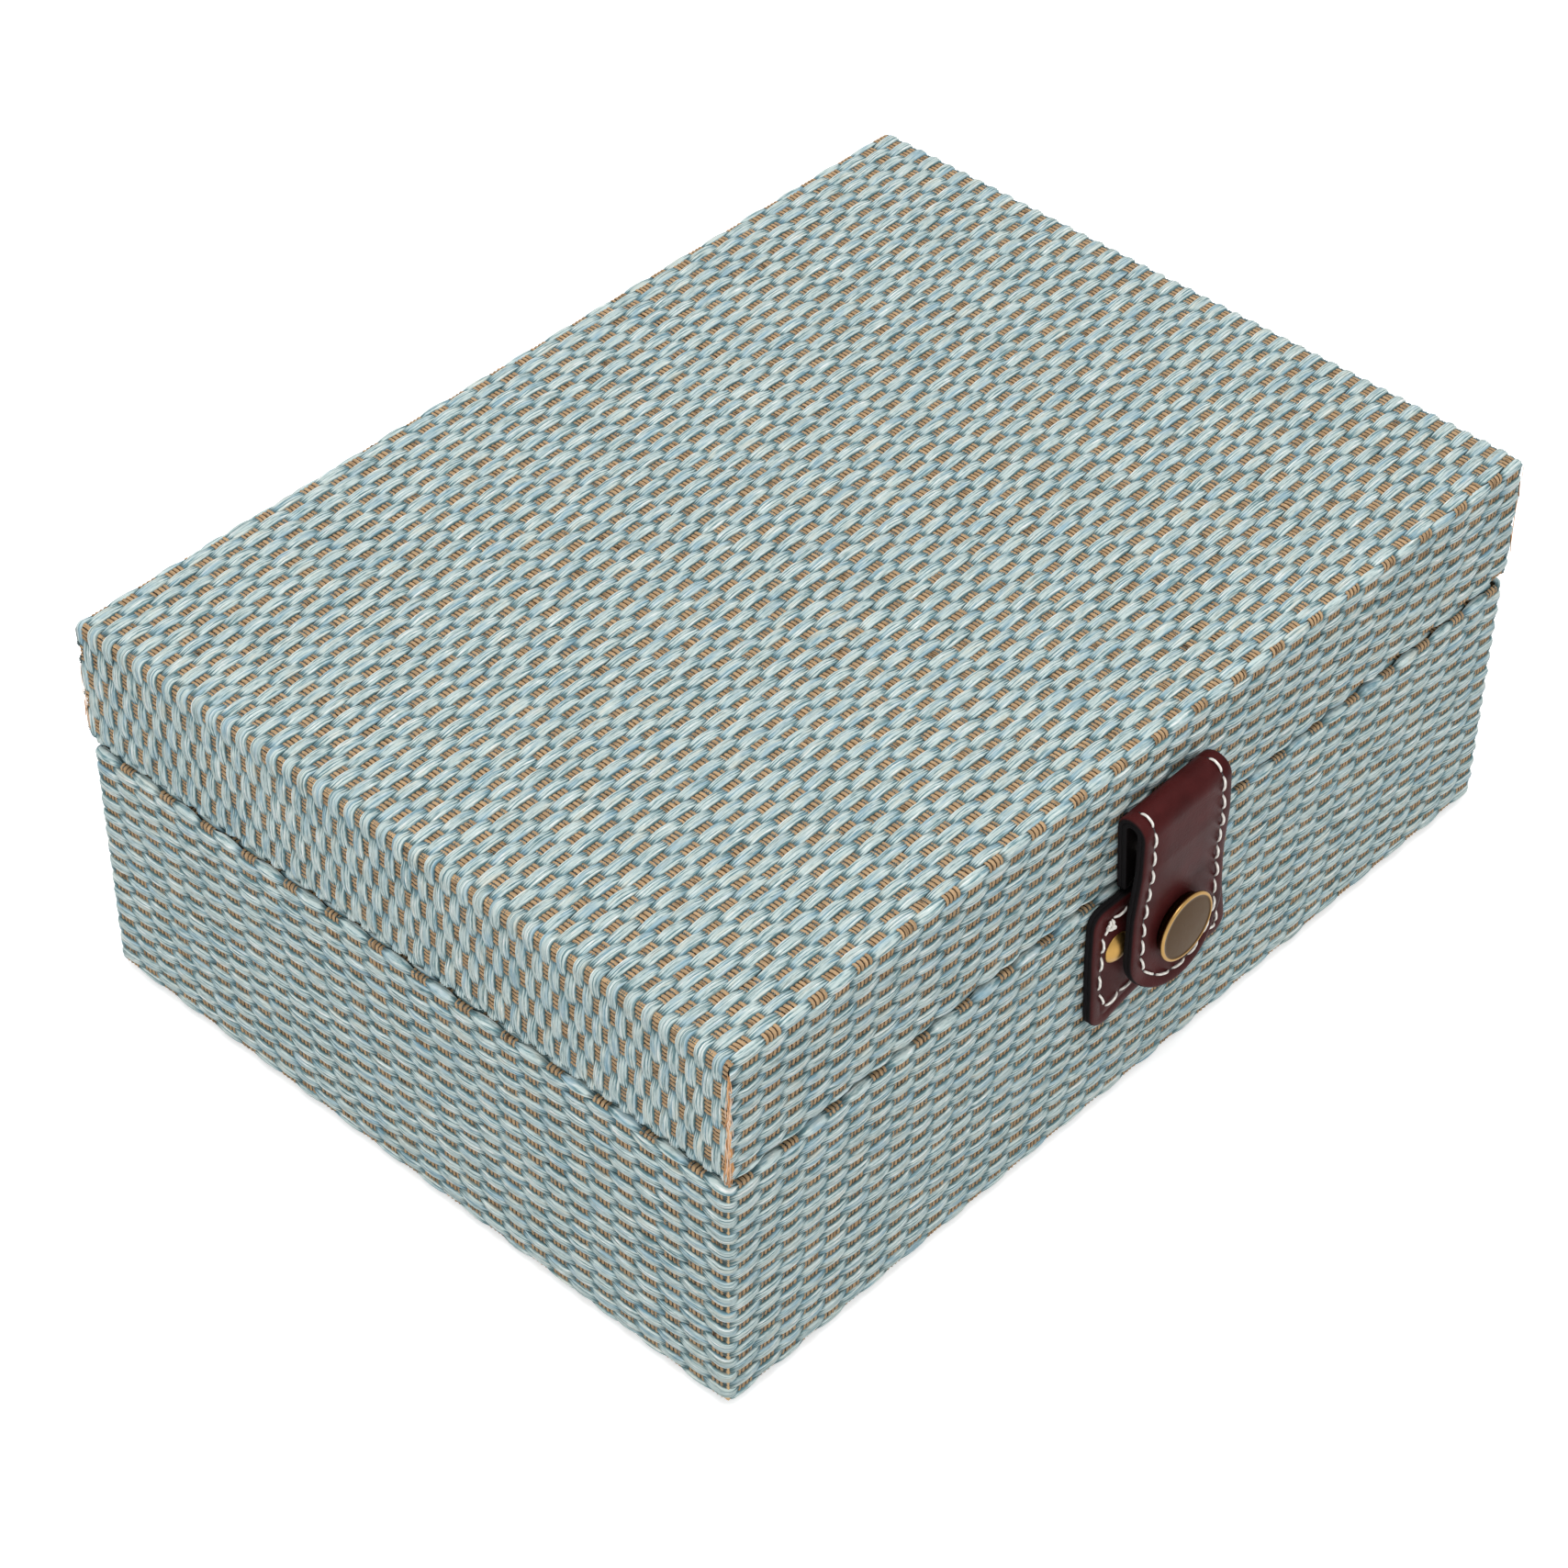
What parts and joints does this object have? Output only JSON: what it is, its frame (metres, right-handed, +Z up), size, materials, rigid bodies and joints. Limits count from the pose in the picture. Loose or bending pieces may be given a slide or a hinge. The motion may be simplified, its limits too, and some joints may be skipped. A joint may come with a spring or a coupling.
{
  "type": "storage box",
  "caption": "Cloth-covered box with a hinged lid and a leather snap strap, for papers and keepsakes.",
  "frame": {"origin": "middle of the flat underside, which rests on the table", "axes": "+X to the right along the front, -Y out of the front face where the strap is, +Z up"},
  "size_m": [0.23, 0.1845, 0.091],
  "materials": {
    "birch_plywood": "bare plywood",
    "woven_cover": "coarse plain weave, teal weft over tan warp",
    "cotton_lining": "plain cotton over card",
    "felt": "felt",
    "burgundy_leather": "smooth burgundy, dark cut edges",
    "waxed_thread": "waxed off-white thread",
    "brass": "polished",
    "antique_bronze": "antique bronze with a bright rim",
    "nickel_steel": "nickel plated"
  },
  "bodies": {
    "base": {"base_back_board": "birch_plywood", "base_back_lining": "cotton_lining", "base_cover": "woven_cover", "base_floor_board": "birch_plywood", "base_floor_lining": "cotton_lining", "base_front_board": "birch_plywood", "base_front_lining": "cotton_lining", "base_hinge_screws": "brass", "base_left_board": "birch_plywood", "base_left_lining": "cotton_lining", "base_right_board": "birch_plywood", "base_right_lining": "cotton_lining", "left_hinge_base_leaf": "brass", "left_hinge_pin": "brass", "right_hinge_base_leaf": "brass", "right_hinge_pin": "brass", "snap_stud": "nickel_steel", "snap_stud_rivet": "nickel_steel", "tab_leather": "burgundy_leather", "tab_lining": "burgundy_leather", "tab_rivets": "brass", "tab_stitching": "waxed_thread", "underside_sheet": "felt"},
    "lid": {"left_hinge_lid_leaf": "brass", "lid_back_board": "birch_plywood", "lid_back_lining": "cotton_lining", "lid_cover": "woven_cover", "lid_front_board": "birch_plywood", "lid_front_lining": "cotton_lining", "lid_hinge_screws": "brass", "lid_left_board": "birch_plywood", "lid_left_lining": "cotton_lining", "lid_right_board": "birch_plywood", "lid_right_lining": "cotton_lining", "lid_top_board": "birch_plywood", "lid_top_lining": "cotton_lining", "right_hinge_lid_leaf": "brass", "strap_back_leather": "burgundy_leather", "strap_back_lining": "burgundy_leather", "strap_tacks": "nickel_steel"},
    "strap": {"strap_front_leather": "burgundy_leather", "strap_front_lining": "burgundy_leather", "strap_stitching": "waxed_thread", "snap_cap": "antique_bronze", "snap_socket": "nickel_steel"}
  },
  "joints": [
    {"name": "lid_hinge", "type": "hinge", "parent": "base", "child": "lid", "pos_m": [0, 0.0872, 0.06], "axis": [-1, 0, 0], "range_deg": [0, 95]},
    {"name": "strap_flap", "type": "hinge", "parent": "lid", "child": "strap", "pos_m": [0.00052, -0.08868, 0.08102], "axis": [-0.999, 0, -0.0436], "range_deg": [0, 90]}
  ]
}
